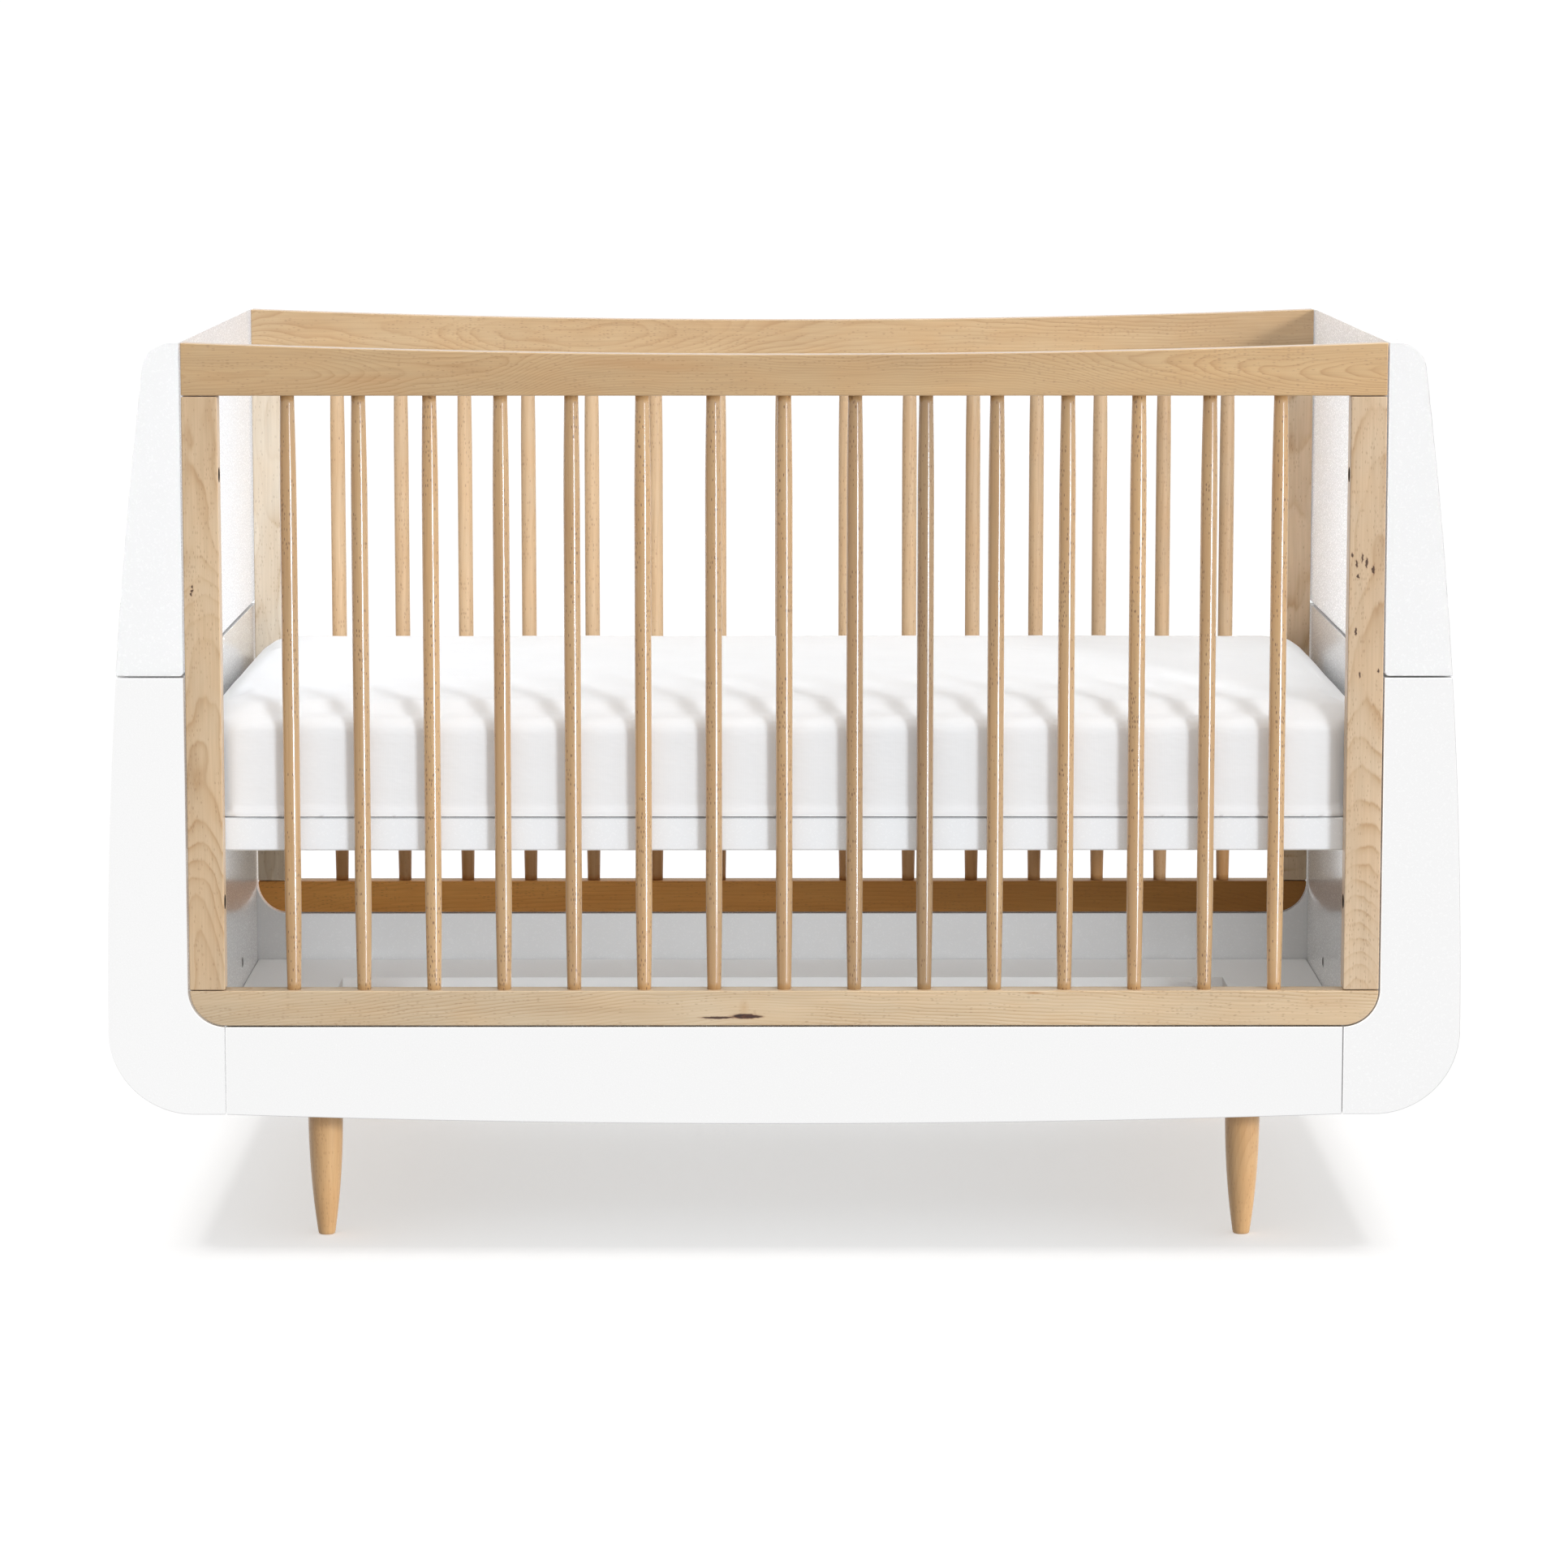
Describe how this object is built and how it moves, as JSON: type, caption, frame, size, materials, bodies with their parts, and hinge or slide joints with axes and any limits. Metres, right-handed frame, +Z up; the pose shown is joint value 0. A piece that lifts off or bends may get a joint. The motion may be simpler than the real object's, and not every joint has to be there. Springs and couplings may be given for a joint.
{
  "type": "baby crib",
  "caption": "Convertible cot bed with slatted beech sides, curved white ends split for conversion, bowed aprons, turned legs and a height-adjustable mattress platform.",
  "frame": {"origin": "on the floor, at the middle of the footprint", "axes": "+X along the length to the right seen from the front, +Y from the front to the rear, +Z up"},
  "size_m": [1.34, 0.74, 0.9],
  "materials": {
    "beech": "clear satin lacquer on steamed beech",
    "white_lacquer": "smooth white satin lacquer on board",
    "board_white": "white faced board, matt",
    "cotton_cover": "white cotton fitted cover, soft matt"
  },
  "bodies": {
    "carcass": {"floor_board": "board_white", "front_apron": "white_lacquer", "front_left_leg": "beech", "front_right_leg": "beech", "left_leg_rail": "beech", "left_lower_front_cheek": "white_lacquer", "left_lower_rear_cheek": "white_lacquer", "left_lower_shell": "white_lacquer", "rear_apron": "white_lacquer", "rear_left_leg": "beech", "rear_right_leg": "beech", "right_leg_rail": "beech", "right_lower_front_cheek": "white_lacquer", "right_lower_rear_cheek": "white_lacquer", "right_lower_shell": "white_lacquer"},
    "front_side": {"front_bottom_rail": "beech", "front_left_stile": "beech", "front_right_stile": "beech", "front_spindle_01": "beech", "front_spindle_02": "beech", "front_spindle_03": "beech", "front_spindle_04": "beech", "front_spindle_05": "beech", "front_spindle_06": "beech", "front_spindle_07": "beech", "front_spindle_08": "beech", "front_spindle_09": "beech", "front_spindle_10": "beech", "front_spindle_11": "beech", "front_spindle_12": "beech", "front_spindle_13": "beech", "front_spindle_14": "beech", "front_spindle_15": "beech", "front_top_rail": "beech"},
    "rear_side": {"rear_bottom_rail": "beech", "rear_left_stile": "beech", "rear_right_stile": "beech", "rear_spindle_01": "beech", "rear_spindle_02": "beech", "rear_spindle_03": "beech", "rear_spindle_04": "beech", "rear_spindle_05": "beech", "rear_spindle_06": "beech", "rear_spindle_07": "beech", "rear_spindle_08": "beech", "rear_spindle_09": "beech", "rear_spindle_10": "beech", "rear_spindle_11": "beech", "rear_spindle_12": "beech", "rear_spindle_13": "beech", "rear_spindle_14": "beech", "rear_spindle_15": "beech", "rear_top_rail": "beech"},
    "left_upper_end": {"left_upper_casing": "white_lacquer"},
    "right_upper_end": {"right_upper_casing": "white_lacquer"},
    "mattress_base": {"platform_front_rail": "white_lacquer", "platform_rear_rail": "white_lacquer", "platform_deck": "board_white"},
    "mattress": {"mattress": "cotton_cover"}
  },
  "joints": [
    {"name": "front_side_release", "type": "slide", "parent": "carcass", "child": "front_side", "axis": [0, -1, 0], "range_m": [0, 0.3]},
    {"name": "rear_side_release", "type": "slide", "parent": "carcass", "child": "rear_side", "axis": [0, 1, 0], "range_m": [0, 0.3]},
    {"name": "left_upper_end_lift", "type": "slide", "parent": "carcass", "child": "left_upper_end", "axis": [0, 0, 1], "range_m": [0, 0.3]},
    {"name": "right_upper_end_lift", "type": "slide", "parent": "carcass", "child": "right_upper_end", "axis": [0, 0, 1], "range_m": [0, 0.3]},
    {"name": "platform_height", "type": "slide", "parent": "carcass", "child": "mattress_base", "axis": [0, 0, 1], "range_m": [-0.216, 0]},
    {"name": "mattress_lift", "type": "slide", "parent": "mattress_base", "child": "mattress", "axis": [0, 0, 1], "range_m": [0, 0.5]}
  ]
}
